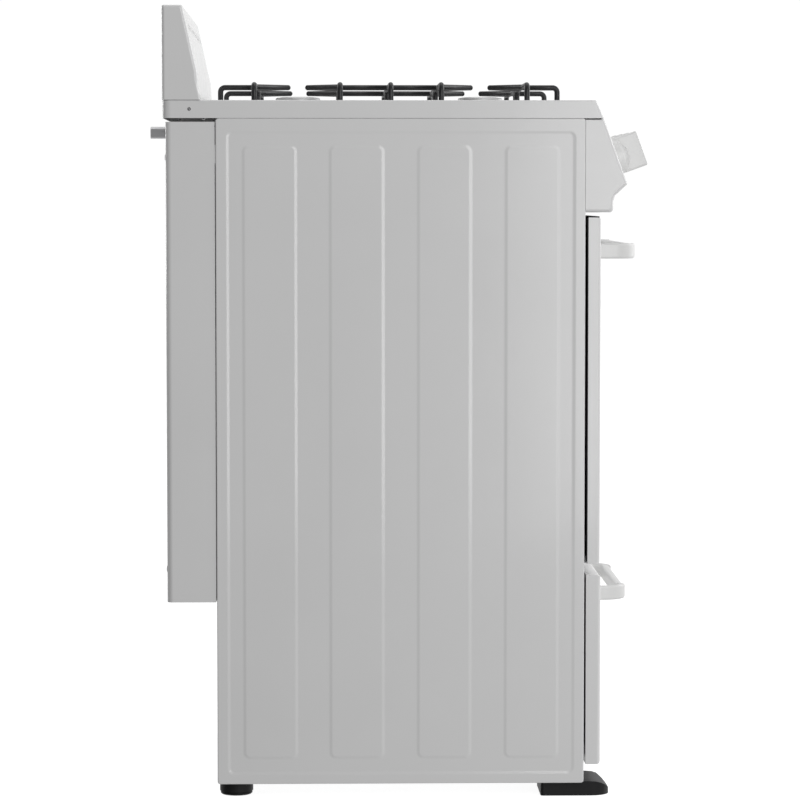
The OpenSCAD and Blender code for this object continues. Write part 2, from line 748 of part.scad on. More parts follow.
side_panel_left();
side_panel_right();
base_frame();
front_frame();
rear_panel();
rear_cover();
burner_box_floor();
cooktop();
backguard();
vent_baffle();
control_panel();
gas_manifold();
burner_valves();
oven_thermostat();
gas_supply_pipe();
gas_regulator();
gas_inlet();
burner_tubes();
burner_heads();
burner_caps();
igniters();
oven_liner();
oven_floor();
oven_insulation();
oven_burner();
flame_spreader();
flue_duct();
rack_guides();
rack_upper();
rack_lower();
door_outer_panel();
door_outer_glass();
door_inner_panel();
door_inner_glass();
door_gasket();
door_handle();
door_hinge_arms();
hinge_brackets();
hinge_pins();
drawer_front();
drawer_tray();
drawer_handle();
drawer_rails();
broiler_pan();
broiler_grid();
front_feet();
rear_feet();
screws();
grate_left();
grate_right();
knob_1();
knob_2();
knob_3();
knob_4();
knob_5();
stem_1();
stem_2();
stem_3();
stem_4();
stem_5();
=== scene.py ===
import json
import math

import bmesh
import bpy
import numpy as np
from mathutils import Matrix, Vector


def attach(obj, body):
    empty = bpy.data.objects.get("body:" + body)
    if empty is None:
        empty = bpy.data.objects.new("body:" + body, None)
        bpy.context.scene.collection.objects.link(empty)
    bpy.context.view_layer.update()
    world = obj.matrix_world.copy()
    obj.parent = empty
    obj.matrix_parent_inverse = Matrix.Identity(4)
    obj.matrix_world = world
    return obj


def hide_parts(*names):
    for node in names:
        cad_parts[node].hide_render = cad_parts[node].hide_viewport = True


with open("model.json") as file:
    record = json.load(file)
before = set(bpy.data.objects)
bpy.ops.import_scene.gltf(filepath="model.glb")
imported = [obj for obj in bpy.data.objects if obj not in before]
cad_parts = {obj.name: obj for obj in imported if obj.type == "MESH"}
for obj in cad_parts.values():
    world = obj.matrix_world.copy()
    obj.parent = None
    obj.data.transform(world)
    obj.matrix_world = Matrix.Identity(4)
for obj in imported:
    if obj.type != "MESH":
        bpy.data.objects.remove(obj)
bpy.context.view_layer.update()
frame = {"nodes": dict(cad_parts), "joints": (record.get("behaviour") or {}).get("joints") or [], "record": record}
nodes = frame["nodes"]
MM = 0.001
HALF_W = 0.254

# ---------------------------------------------------------------- camera
CAM_AT = Vector((-4.43205, 0.09737, 0.79109))
CAM_PAN, CAM_TILT = math.radians(1.335), math.radians(3.653)
CAM_LENS = 144.495


def make_camera():
    """The photograph's view: level with the door, square to the left side."""
    cp, sp, ct, st = math.cos(CAM_PAN), math.sin(CAM_PAN), math.cos(CAM_TILT), math.sin(CAM_TILT)
    forward = Vector((ct * cp, -ct * sp, -st))
    right = Vector((-sp, -cp, 0))
    up = right.cross(forward)
    data = bpy.data.cameras.new("camera")
    data.lens, data.sensor_width = CAM_LENS, 36
    data.clip_start, data.clip_end = 0.05, 60
    cam = bpy.data.objects.new("camera", data)
    bpy.context.scene.collection.objects.link(cam)
    rot = Matrix((right, up, -forward)).transposed()
    cam.matrix_world = Matrix.Translation(CAM_AT) @ rot.to_4x4()
    bpy.context.scene.camera = cam


# ---------------------------------------------------------------- stage and light
def emission_material(name, colour, strength):
    mat = bpy.data.materials.new(name)
    mat.use_nodes = True
    tree = mat.node_tree
    tree.nodes.clear()
    out = tree.nodes.new("ShaderNodeOutputMaterial")
    emit = tree.nodes.new("ShaderNodeEmission")
    emit.inputs["Color"].default_value = (*colour, 1)
    emit.inputs["Strength"].default_value = strength
    tree.links.new(emit.outputs[0], out.inputs["Surface"])
    return mat


def camera_only(obj):
    obj.visible_diffuse = obj.visible_glossy = obj.visible_transmission = False
    obj.visible_volume_scatter = obj.visible_shadow = False


def make_stage():
    scene = bpy.context.scene
    scene.view_settings.view_transform = "Standard"
    world = bpy.data.worlds.new("studio")
    world.use_nodes = True
    tree = world.node_tree
    background = tree.nodes["Background"]
    background.inputs["Color"].default_value = (1, 1, 1, 1)
    coord = tree.nodes.new("ShaderNodeTexCoord")
    split = tree.nodes.new("ShaderNodeSeparateXYZ")
    tree.links.new(coord.outputs["Generated"], split.inputs["Vector"])
    total = tree.nodes.new("ShaderNodeMath")
    tree.links.new(value_range(tree, split.outputs["Y"], WORLD + WORLD_LEAN, WORLD - WORLD_LEAN, -1.0, 1.0),
                   total.inputs[0])
    tree.links.new(value_range(tree, split.outputs["X"], 0.0, WORLD_FAR, 0.0, 0.8), total.inputs[1])
    tree.links.new(total.outputs[0], background.inputs["Strength"])
    scene.world = world
    bm = bmesh.new()
    bmesh.ops.create_icosphere(bm, subdivisions=4, radius=22)
    dome = mesh_object("backdrop", bm)
    dome.data.materials.append(emission_material("backdrop_white", (1, 1, 1), 1.02))
    bm = bmesh.new()
    bmesh.ops.create_circle(bm, cap_ends=True, radius=18, segments=96)
    bmesh.ops.translate(bm, verts=bm.verts, vec=(0, 0, -0.0006))
    floor = mesh_object("floor", bm)
    mat = bpy.data.materials.new("floor_pale")
    mat.use_nodes = True
    bsdf = mat.node_tree.nodes["Principled BSDF"]
    bsdf.inputs["Base Color"].default_value = (0.4, 0.4, 0.4, 1)
    bsdf.inputs["Roughness"].default_value = 0.9
    bsdf.inputs["Specular IOR Level"].default_value = 0.0
    bsdf.inputs["Emission Color"].default_value = (1, 1, 1, 1)
    bsdf.inputs["Emission Strength"].default_value = 0.93
    floor.data.materials.append(mat)
    for o in (dome, floor):
        camera_only(o)


def area_light(name, at, target, size, radiance):
    """A rectangular softbox of that radiance."""
    data = bpy.data.lights.new(name, "AREA")
    data.shape = "RECTANGLE"
    data.size, data.size_y = size
    data.energy = radiance * math.pi * size[0] * size[1]
    obj = bpy.data.objects.new(name, data)
    bpy.context.scene.collection.objects.link(obj)
    obj.location = at
    obj.rotation_euler = (Vector(target) - Vector(at)).to_track_quat("-Z", "Y").to_euler()
    obj.visible_camera = False
    return obj


WORLD, WORLD_LEAN, WORLD_FAR = 0.345, 0.24, 0.52


def make_lights():
    # tall softbox beside the camera: its blurred mirror image is the lighter band at the panel's front edge
    area_light("side_softbox", (-2.6, -0.915, 1.21), (-1.6, -0.915, 1.21), (1.2, 2.2), 2.75)
    area_light("front_softbox", (1.4, -3.2, 1.7), (0.2, 0, 0.6), (2.4, 2.2), 1.9)
    area_light("rear_softbox", (2.6, 3.3, 1.6), (0.1, 0.3, 0.6), (2.2, 2.2), 3.0)
    low = area_light("low_fill", (-0.75, -0.75, 0.02), (-0.254, -0.2, 0.15), (0.5, 0.3), 0.8)
    low.visible_glossy = False
    area_light("top_softbox", (0.3, -0.2, 3.2), (0, 0, 0), (1.8, 1.8), 1.1)


# ---------------------------------------------------------------- helpers
def mesh_object(name, bm, smooth=False):
    mesh = bpy.data.meshes.new(name)
    bm.to_mesh(mesh)
    bm.free()
    if smooth:
        mesh.polygons.foreach_set("use_smooth", [True] * len(mesh.polygons))
    obj = bpy.data.objects.new(name, mesh)
    bpy.context.scene.collection.objects.link(obj)
    return obj


def piece(name, bm, look, body, *stands_for, smooth=True):
    """A finished piece: its look, the body it rides on and the CAD nodes it stands for."""
    obj = mesh_object(name, bm, smooth)
    obj.data.materials.append(LOOKS[look])
    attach(obj, body)
    if stands_for:
        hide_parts(*stands_for)
    return obj


def settle(obj, angle=32):
    """Keeps edges sharper than the angle crisp and flat faces flat."""
    obj.data.polygons.foreach_set("use_smooth", [True] * len(obj.data.polygons))
    obj.data.set_sharp_from_angle(angle=math.radians(angle))
    modifier(obj, "normals", "WEIGHTED_NORMAL", mode="FACE_AREA", weight=50, keep_sharp=True)


def modifier(obj, name, kind, **settings):
    mod = obj.modifiers.new(name, kind)
    for key, value in settings.items():
        setattr(mod, key, value)
    return mod


def loft(rings, cap_first=True, cap_last=True):
    """Quads between rings of the same number of points."""
    bm = bmesh.new()
    rows = [[bm.verts.new(p) for p in ring] for ring in rings]
    n = len(rows[0])
    for lower, upper in zip(rows, rows[1:]):
        for i in range(n):
            j = (i + 1) % n
            bm.faces.new((lower[i], lower[j], upper[j], upper[i]))
    if cap_first:
        bm.faces.new(rows[0][::-1])
    if cap_last:
        bm.faces.new(rows[-1])
    bmesh.ops.remove_doubles(bm, verts=bm.verts, dist=1e-7)
    bmesh.ops.recalc_face_normals(bm, faces=bm.faces)
    return bm


def lathe(profile, segments=64):
    """Turns (radius, height) points about Z; a radius of 0 closes an end."""
    rings = []
    for r, z in profile:
        rings.append([(r * math.cos(2 * math.pi * i / segments), r * math.sin(2 * math.pi * i / segments), z)
                      for i in range(segments)])
    return loft(rings, cap_first=profile[0][0] > 0, cap_last=profile[-1][0] > 0)


def arc_profile(points, steps=5):
    """Rounds a list of (a, b, radius) corners into a polyline, ends kept."""
    out = []
    for i, (a, b, r) in enumerate(points):
        if r <= 0 or i in (0, len(points) - 1):
            out.append((a, b))
            continue
        out.extend(corner(points[i - 1][:2], (a, b), points[i + 1][:2], r, steps))
    return out


def corner(before, at, after, radius, steps):
    """Points of the arc that rounds one corner."""
    at_v = Vector(at)
    u, v = (Vector(before) - at_v), (Vector(after) - at_v)
    lu, lv = u.length, v.length
    u, v = u / lu, v / lv
    angle = math.acos(max(-1, min(1, u.dot(v))))
    if angle > math.pi - 0.01:
        return [tuple(at)] * (steps + 1)
    cut = min(radius / math.tan(angle / 2), lu * 0.49, lv * 0.49)
    r = cut * math.tan(angle / 2)
    centre = at_v + (u + v).normalized() * (r / math.sin(angle / 2))
    start, end = at_v + u * cut - centre, at_v + v * cut - centre
    a0 = math.atan2(start.y, start.x)
    turn = math.atan2(end.y, end.x) - a0
    turn = (turn + math.pi) % (2 * math.pi) - math.pi
    return [(centre.x + r * math.cos(a0 + turn * k / steps), centre.y + r * math.sin(a0 + turn * k / steps))
            for k in range(steps + 1)]


def rounded_loop(corners, steps=5):
    """A closed outline of (a, b, radius) corners."""
    n = len(corners)
    out = []
    for i, (a, b, r) in enumerate(corners):
        if r <= 0:
            out.extend([(a, b)] * (steps + 1))
        else:
            out.extend(corner(corners[i - 1][:2], (a, b), corners[(i + 1) % n][:2], r, steps))
    return out


def offset_loop(corners, distances):
    """Moves each edge (from corner i to i + 1) inward by its distance; corners run anticlockwise."""
    n = len(corners)
    lines = []
    for i in range(n):
        p, q = Vector(corners[i][:2]), Vector(corners[(i + 1) % n][:2])
        d = (q - p).normalized()
        lines.append((p + Vector((-d.y, d.x)) * distances[i], d))
    out = []
    for i in range(n):
        (p, d), (q, e) = lines[i - 1], lines[i]
        cross = d.x * e.y - d.y * e.x
        t = ((q - p).x * e.y - (q - p).y * e.x) / cross
        hit = p + d * t
        out.append((hit.x, hit.y))
    return out


def rounded_distance(px, py, low, high, radius):
    """Signed distance to a rounded rectangle, below 0 inside."""
    cx, cy = (low[0] + high[0]) / 2, (low[1] + high[1]) / 2
    qx = np.abs(px - cx) - ((high[0] - low[0]) / 2 - radius)
    qy = np.abs(py - cy) - ((high[1] - low[1]) / 2 - radius)
    outside = np.hypot(np.maximum(qx, 0), np.maximum(qy, 0))
    return outside + np.minimum(np.maximum(qx, qy), 0) - radius


def smooth_step(t):
    t = np.clip(t, 0, 1)
    return t * t * (3 - 2 * t)


def grid_lines(low, high, features, fine, reach, coarse):
    """Line positions from low to high: fine near each feature, no gap wider than coarse."""
    marks = {low, high}
    for f in features:
        for k in range(-reach, reach + 1):
            if low < f + k * fine < high:
                marks.add(round(f + k * fine, 6))
    for k in (0.15, 0.4, 0.8, 1.3, 2.0, 3.0, 4.2, 6.0, 9.0, 12.5):
        marks.update((low + k * MM, high - k * MM))
    ordered = sorted(marks)
    lines = [ordered[0]]
    for value in ordered[1:]:
        gap = value - lines[-1]
        if gap < 0.08 * MM:
            continue
        parts = math.ceil(gap / coarse)
        start = lines[-1]
        lines.extend(start + gap * (k + 1) / parts for k in range(parts))
    return np.array(lines)


def sheet_grid(us, vs, low, high, corner_rs, edge_r, depth):
    """A pressed sheet with a corner radius at each v end: (u, v, depth) of each grid point."""
    u, v = np.meshgrid(us, vs, indexing="ij")
    d = rounded_distance(u, v, low, high, np.where(v < (low[1] + high[1]) / 2, corner_rs[0], corner_rs[1]))
    for sv, corner_r in ((-1, corner_rs[0]), (1, corner_rs[1])):
        cv = low[1] + corner_r if sv < 0 else high[1] - corner_r
        for su, cu in ((-1, low[0] + corner_r), (1, high[0] - corner_r)):
            away = np.hypot(u - cu, v - cv)
            out = ((u - cu) * su > 0) & ((v - cv) * sv > 0) & (away > corner_r)
            scale = np.where(out, corner_r / np.maximum(away, 1e-9), 1)
            u, v = np.where(out, cu + (u - cu) * scale, u), np.where(out, cv + (v - cv) * scale, v)
    t = np.clip(-d, 0, edge_r)
    drop = edge_r - np.sqrt(np.maximum(edge_r ** 2 - (edge_r - t) ** 2, 0))
    return u, v, depth(u, v) + drop


def grid_mesh(points):
    """A mesh from an (n, m, 3) array of points."""
    n, m = points.shape[:2]
    bm = bmesh.new()
    verts = [bm.verts.new(p) for p in points.reshape(-1, 3)]
    for i in range(n - 1):
        for j in range(m - 1):
            a = i * m + j
            bm.faces.new((verts[a], verts[a + 1], verts[a + m + 1], verts[a + m]))
    bmesh.ops.remove_doubles(bm, verts=bm.verts, dist=2e-5)
    bmesh.ops.dissolve_degenerate(bm, edges=bm.edges, dist=1e-6)
    return bm


def extrude_rim(bm, move):
    """Adds a wall from the sheet's open edge; move gives each new vertex's place."""
    rim = [e for e in bm.edges if e.is_boundary]
    new = bmesh.ops.extrude_edge_only(bm, edges=rim)["geom"]
    for v in (g for g in new if isinstance(g, bmesh.types.BMVert)):
        v.co = move(v.co.copy())


# ---------------------------------------------------------------- materials
def new_material(name):
    mat = bpy.data.materials.new("look_" + name)
    mat.use_nodes = True
    return mat, mat.node_tree, mat.node_tree.nodes["Principled BSDF"]


def noise(tree, scale, detail=2.0, rough=0.5):
    coord = tree.nodes.new("ShaderNodeTexCoord")
    tex = tree.nodes.new("ShaderNodeTexNoise")
    tex.inputs["Scale"].default_value = scale
    tex.inputs["Detail"].default_value = detail
    tex.inputs["Roughness"].default_value = rough
    tree.links.new(coord.outputs["Object"], tex.inputs["Vector"])
    return tex


def ramp(tree, source, lo, hi, start=0.3, end=0.7):
    """Maps a noise value to a colour or value range."""
    node = tree.nodes.new("ShaderNodeValToRGB")
    node.color_ramp.elements[0].position, node.color_ramp.elements[1].position = start, end
    node.color_ramp.elements[0].color = (*lo, 1)
    node.color_ramp.elements[1].color = (*hi, 1)
    tree.links.new(source, node.inputs["Fac"])
    return node.outputs["Color"]


def value_range(tree, source, lo, hi, start=0.3, end=0.7):
    node = tree.nodes.new("ShaderNodeMapRange")
    node.inputs["From Min"].default_value, node.inputs["From Max"].default_value = start, end
    node.inputs["To Min"].default_value, node.inputs["To Max"].default_value = lo, hi
    tree.links.new(source, node.inputs["Value"])
    return node.outputs["Result"]


def bump(tree, source, strength, distance):
    node = tree.nodes.new("ShaderNodeBump")
    node.inputs["Strength"].default_value = strength
    node.inputs["Distance"].default_value = distance
    tree.links.new(source, node.inputs["Height"])
    return node.outputs["Normal"]


def coated(name, colour, rough, peel_scale, peel_depth, shade=0.012, rough_step=0.03, spec=0.5, metallic=0.0,
           coat=0.0):
    """A coated, moulded or bare surface: faint large-scale tone, small-scale roughness and a fine relief."""
    mat, tree, bsdf = new_material(name)
    wide = noise(tree, 7.0, 3.0, 0.55)
    lo = tuple(max(0.0, c * (1 - shade)) for c in colour)
    hi = tuple(min(1.0, c * (1 + shade)) for c in colour)
    tree.links.new(ramp(tree, wide.outputs["Fac"], lo, hi), bsdf.inputs["Base Color"])
    fine = noise(tree, peel_scale, 2.0, 0.5)
    patch = noise(tree, 24.0, 4.0, 0.6)
    tree.links.new(value_range(tree, patch.outputs["Fac"], rough - rough_step, rough + rough_step),
                   bsdf.inputs["Roughness"])
    tree.links.new(bump(tree, fine.outputs["Fac"], 1.0, peel_depth), bsdf.inputs["Normal"])
    bsdf.inputs["Specular IOR Level"].default_value = spec
    bsdf.inputs["Metallic"].default_value = metallic
    bsdf.inputs["Coat Weight"].default_value = coat
    bsdf.inputs["Coat Roughness"].default_value = 0.08
    return mat


def glass(name, colour, rough, alpha):
    mat, tree, bsdf = new_material(name)
    tex = noise(tree, 6.0, 2.0)
    lo = tuple(c * 0.9 for c in colour)
    tree.links.new(ramp(tree, tex.outputs["Fac"], lo, colour), bsdf.inputs["Base Color"])
    smear = noise(tree, 18.0, 4.0, 0.6)
    tree.links.new(value_range(tree, smear.outputs["Fac"], rough, rough + 0.05), bsdf.inputs["Roughness"])
    bsdf.inputs["Alpha"].default_value = alpha
    return mat


def make_materials():
    m = {}
    white = (0.80, 0.80, 0.80)
    m["white_enamel"] = coated("white_enamel", white, 0.20, 260, 0.00004, coat=0.25)
    m["side_enamel"] = coated("side_enamel", white, 0.15, 700, 0.00002, rough_step=0.015)
    m["white_plastic"] = coated("white_plastic", (0.78, 0.78, 0.775), 0.32, 900, 0.00003)
    m["black_plastic"] = coated("black_plastic", (0.009, 0.009, 0.0095), 0.48, 1200, 0.00008,
                               shade=0.1, spec=0.3)
    m["black_enamel"] = coated("black_enamel", (0.012, 0.0125, 0.014), 0.38, 900, 0.00008, shade=0.15)
    m["grey_enamel"] = coated("grey_enamel", (0.030, 0.034, 0.042), 0.22, 300, 0.00005, shade=0.2, coat=0.3)
    m["zinc_sheet"] = coated("zinc_sheet", (0.48, 0.49, 0.50), 0.36, 500, 0.00004, shade=0.10, metallic=1.0)
    m["steel"] = coated("steel", (0.62, 0.62, 0.63), 0.36, 700, 0.00004, shade=0.08, metallic=1.0)
    m["chrome_wire"] = coated("chrome_wire", (0.62, 0.62, 0.64), 0.14, 500, 0.00002, shade=0.04, metallic=1.0)
    m["aluminium"] = coated("aluminium", (0.72, 0.72, 0.72), 0.48, 1100, 0.0001, shade=0.05, metallic=0.55)
    m["brass"] = coated("brass", (0.60, 0.43, 0.17), 0.30, 700, 0.00004, shade=0.08, metallic=1.0)
    m["ceramic"] = coated("ceramic", (0.82, 0.80, 0.74), 0.25, 500, 0.00003, shade=0.03)
    m["woven_gasket"] = coated("woven_gasket", (0.05, 0.05, 0.052), 0.85, 500, 0.0006, shade=0.3)
    m["glass_wool"] = coated("glass_wool", (0.62, 0.55, 0.30), 0.95, 300, 0.002, shade=0.2)
    m["dark_glass"] = glass("dark_glass", (0.006, 0.006, 0.007), 0.03, 0.93)
    m["clear_glass"] = glass("clear_glass", (0.35, 0.37, 0.37), 0.03, 0.3)
    return m


SLOT_OF = {p["node"]: p["material_slot"] for p in frame["record"]["subparts"]}


def tidy_normals(obj):
    """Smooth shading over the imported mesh: its split vertices are welded by a modifier."""
    mesh = obj.data
    if "custom_normal" in mesh.attributes:
        mesh.attributes.remove(mesh.attributes["custom_normal"])
    mesh.polygons.foreach_set("use_smooth", [True] * len(mesh.polygons))
    if "sharp_edge" in mesh.attributes:
        mesh.attributes.remove(mesh.attributes["sharp_edge"])
    if "sharp_face" in mesh.attributes:
        mesh.attributes.remove(mesh.attributes["sharp_face"])


BEVEL = {
    "rear_cover": 0.0005, "door_outer_panel": 0.0012, "drawer_front": 0.0012,
    "door_handle": 0.0008, "drawer_handle": 0.0008, "front_feet": 0.0015, "rear_feet": 0.0004,
    "door_outer_glass": 0.0006, "gas_inlet": 0.0004, "door_inner_panel": 0.0006, "front_frame": 0.0005,
}


def dress_nodes(looks):
    for name, obj in nodes.items():
        obj.data.materials.clear()
        obj.data.materials.append(looks[SLOT_OF[name]])
        tidy_normals(obj)
        weld = obj.modifiers.new("weld", "WELD")
        weld.merge_threshold = 0.000001
        width = BEVEL.get(name, 0.0)
        if width:
            bev = obj.modifiers.new("edge", "BEVEL")
            bev.width, bev.segments = width, 2
            bev.limit_method, bev.angle_limit = "ANGLE", math.radians(28)
            bev.use_clamp_overlap = True
            bev.miter_outer = "MITER_ARC"
        weighted = obj.modifiers.new("normals", "WEIGHTED_NORMAL")
        weighted.mode, weighted.weight, weighted.keep_sharp = "FACE_AREA", 50, False


# ---------------------------------------------------------------- body
PANEL_LOW, PANEL_HIGH = (-241.6 * MM, 19 * MM), (239.4 * MM, 890.4 * MM)
FIELD_LOW, FIELD_HIGH = (-227.1 * MM, 33.3 * MM), (223.9 * MM, 872.3 * MM)
RIBS = [(135.4, 203.4), (21.8, 90.6), (-92, -24), (-206.6, -138.1)]
RIB_Z = (54 * MM, 853.9 * MM)
EMBOSS, RAMP = 0.8 * MM, 5.0 * MM


def side_panel(side, name):
    """Pressed side sheet: a sunk field with four raised ribs, rounded edges and a turned-in flange."""
    ribs = [(a * MM, b * MM) for a, b in RIBS]

    def depth(y, z):
        level = smooth_step(0.5 - rounded_distance(y, z, FIELD_LOW, FIELD_HIGH, 7 * MM) / RAMP)
        for a, b in ribs:
            level -= smooth_step(0.5 - rounded_distance(y, z, (a, RIB_Z[0]), (b, RIB_Z[1]), 7 * MM) / RAMP)
        return EMBOSS * level

    y_marks = [FIELD_LOW[0], FIELD_HIGH[0]] + [v for rib in ribs for v in rib]
    ys = grid_lines(PANEL_LOW[0], PANEL_HIGH[0], y_marks, 0.6 * MM, 12, 24 * MM)
    zs = grid_lines(PANEL_LOW[1], PANEL_HIGH[1], [FIELD_LOW[1], FIELD_HIGH[1], *RIB_Z], 0.6 * MM, 12, 60 * MM)
    y, z, d = sheet_grid(ys, zs, PANEL_LOW, PANEL_HIGH, (4 * MM, 4 * MM), 1.4 * MM, depth)
    bm = grid_mesh(np.stack([side * (HALF_W - d), y, z], axis=-1))
    extrude_rim(bm, lambda co: Vector((side * (HALF_W - 13 * MM), co.y, co.z)))
    bmesh.ops.recalc_face_normals(bm, faces=bm.faces)
    obj = piece(name + "_skin", bm, "side_enamel", "cabinet", name)
    modifier(obj, "sheet", "SOLIDIFY", thickness=1.1 * MM, offset=-1)
    return obj


TOP_Z, SKIRT_Z = 914 * MM, 890.6 * MM
TOP_LOW, TOP_HIGH = (-254 * MM, -255.8 * MM), (254 * MM, 308.5 * MM)
BURNER_X, BURNER_YS = 127 * MM, (-110 * MM, 133.4 * MM)
WELL_LOW, WELL_HIGH = (-244 * MM, -234 * MM), (244 * MM, 246 * MM)
WELL_DEPTH, WELL_RAMP = 9 * MM, 7 * MM
DISH_DEPTH, DISH_R = 2.5 * MM, 70 * MM
SCREW_Y, SCREW_Z = 273.3 * MM, 902.2 * MM


def cooktop():
    """Pressed enamel top: raised rim, sunk well, a round dish under each burner, and the skirt."""
    def depth(x, y):
        level = WELL_DEPTH * smooth_step(-rounded_distance(x, y, WELL_LOW, WELL_HIGH, 16 * MM) / WELL_RAMP)
        for bx in (-BURNER_X, BURNER_X):
            for by in BURNER_YS:
                away = np.hypot(x - bx, y - by)
                level = level + DISH_DEPTH * smooth_step((DISH_R - away) / (9 * MM))
        return level

    lines = []
    for axis in (0, 1):
        walls = [WELL_LOW[axis] + WELL_RAMP / 2, WELL_HIGH[axis] - WELL_RAMP / 2]
        lines.append(grid_lines(TOP_LOW[axis], TOP_HIGH[axis], walls, 0.8 * MM, 8, 3.4 * MM))
    xs, ys = lines
    x, y, d = sheet_grid(xs, ys, TOP_LOW, TOP_HIGH, (3.5 * MM, 11 * MM), 2.4 * MM, depth)
    bm = grid_mesh(np.stack([x, y, TOP_Z - d], axis=-1))

    def skirt(co):
        share = min(1.0, max(0.0, (TOP_LOW[1] + 0.020 - co.y) / 0.020))
        return Vector((co.x, co.y - 9.5 * MM * share, SKIRT_Z))

    extrude_rim(bm, skirt)
    bmesh.ops.recalc_face_normals(bm, faces=bm.faces)
    obj = piece("cooktop_pressing", bm, "white_enamel", "cabinet", "cooktop")
    modifier(obj, "sheet", "SOLIDIFY", thickness=1.1 * MM, offset=-1)
    for x in (-HALF_W, HALF_W):
        hole = lathe([(0, -3 * MM), (2.3 * MM, -3 * MM), (2.3 * MM, 3 * MM), (0, 3 * MM)], 24)
        place = Matrix.Translation((x, SCREW_Y, SCREW_Z)) @ Matrix.Rotation(math.pi / 2, 4, "Y")
        combine(obj, placed(hole, place))
    settle(obj, 40)
    return obj


def rounded_prism(corners, edge_offsets, end_r, steps=5, end_steps=6, half=HALF_W):
    """An outline in (y, z) drawn across the range, its ends rounded where the edge offset is 1."""
    rings = []
    places = []
    for k in range(end_steps + 1):
        phi = math.pi / 2 * (1 - k / end_steps)
        places.append((end_r * (1 - math.cos(phi)), half - end_r * (1 - math.sin(phi))))
    for sign in (-1, 1):
        for inset, x in (places if sign < 0 else places[::-1]):
            moved = offset_loop(corners, [inset * e for e in edge_offsets])
            radii = [max(c[2] - inset * 0.5, 0.3 * MM) for c in corners]
            loop = rounded_loop([(*p, r) for p, r in zip(moved, radii)], steps)
            rings.append([(sign * x, a, b) for a, b in loop])
    return loft(rings)


KNOB_TILT = math.radians(20)
AXES = [Vector((1, 0, 0)), Vector((0, math.sin(KNOB_TILT), math.cos(KNOB_TILT))),
        Vector((0, -math.cos(KNOB_TILT), math.sin(KNOB_TILT)))]
KNOBS = {j["child"]: Vector(j["pos_m"]) for j in frame["joints"] if j["child"].startswith("control_knob")}


def on_panel(at):
    """The matrix from a knob's own frame (z out of the panel, y up the slope) to the row frame."""
    return Matrix.Translation(at) @ Matrix([[a[i] for a in AXES] for i in range(3)]).to_4x4()


def combine(obj, bm, operation="DIFFERENCE"):
    """Joins a second shape to the piece or takes it away, and keeps the result as the piece's mesh."""
    tool = mesh_object("tool", bm)
    modifier(obj, "combine", "BOOLEAN", operation=operation, object=tool, solver="EXACT")
    bpy.context.view_layer.update()
    made = bpy.data.meshes.new_from_object(obj.evaluated_get(bpy.context.evaluated_depsgraph_get()))
    obj.modifiers.clear()
    obj.data = made
    bpy.data.objects.remove(tool)


def block(low, high, radius, steps=2):
    """A box with rounded upright edges."""
    loop = rounded_loop([(low[0], low[1], radius), (high[0], low[1], radius), (high[0], high[1], radius),
                         (low[0], high[1], radius)], steps)
    return loft([[(x, y, z) for x, y in loop] for z in (low[2], high[2])])


def merged(parts):
    """One mesh of several closed shells."""
    total = bmesh.new()
    for bm in parts:
        mesh = bpy.data.meshes.new("part")
        bm.to_mesh(mesh)
        bm.free()
        total.from_mesh(mesh)
        bpy.data.meshes.remove(mesh)
    return total


def placed(bm, matrix):
    bmesh.ops.transform(bm, matrix=matrix, verts=bm.verts)
    return bm


def control_panel():
    """Sloped fascia with a chin, rounded at its ends, and a round recess for each knob."""
    corners = [(-241.65, 768.5, 0.4), (-241.65, 889.3, 0.4), (-265.85, 889.3, 1.5), (-296.4, 805.2, 2.5),
               (-280.2, 790.4, 5), (-277.9, 783.5, 3), (-277.9, 768.5, 5)]
    corners = [(a * MM, b * MM, r * MM) for a, b, r in corners]
    edges = [0, 0.3, 1, 1, 1, 1, 1]
    bm = rounded_prism(corners, edges, 4.5 * MM)
    obj = piece("control_fascia", bm, "white_enamel", "cabinet", "control_panel")
    for at in KNOBS.values():
        recess = [(0, -60), (3.8, -60), (3.8, -3.4), (24.6, -3.4), (24.6, 3), (0, 3)]
        combine(obj, placed(lathe([(r * MM, z * MM) for r, z in recess], 96), on_panel(at)))
    settle(obj)
    return obj


# half width and half length of the grip bar at heights over the panel, in mm
GRIP = [(9, 10.5, 23.6), (14, 9, 23.65), (19, 7.9, 23.7), (27, 7.2, 23.7), (36.9, 6.5, 23.7),
        (38.2, 6.1, 23.45), (38.7, 5.5, 22.9), (38.9, 4.6, 22.0)]


def knobs():
    """Each knob: a round skirt that sweeps up into a tapered grip bar, with a bore for its stem."""
    skirt = arc_profile([(r * MM, z * MM, c * MM) for r, z, c in (
        (0, 0.3, 0), (23.9, 0.3, 0.6), (23.4, 11, 2.5), (18, 14, 6), (10, 19, 0), (0, 19, 0))])
    grip = []
    for z, wide, long in GRIP:
        ends = [(x * wide * MM, y * long * MM, 3.2 * MM) for x, y in ((-1, -1), (1, -1), (1, 1), (-1, 1))]
        grip.append([(x, y, z * MM) for x, y in rounded_loop(ends, 5)])
    bore = [(0, -2), (3.1, -2), (3.1, 26), (0, 26)]
    for name, at in KNOBS.items():
        k = name[-1]
        turn = on_panel(at)
        obj = piece("knob_" + k + "_body", placed(lathe(skirt, 96), turn), "white_plastic", name, "knob_" + k)
        combine(obj, placed(loft(grip), turn), "UNION")
        combine(obj, placed(lathe([(r * MM, z * MM) for r, z in bore], 48), turn))
        settle(obj, 34)
        line = block((-0.7 * MM, 9 * MM, 38.6 * MM), (0.7 * MM, 21 * MM, 38.93 * MM), 0.6 * MM)
        piece("knob_" + k + "_pointer", placed(line, turn), "black_plastic", name, smooth=False)


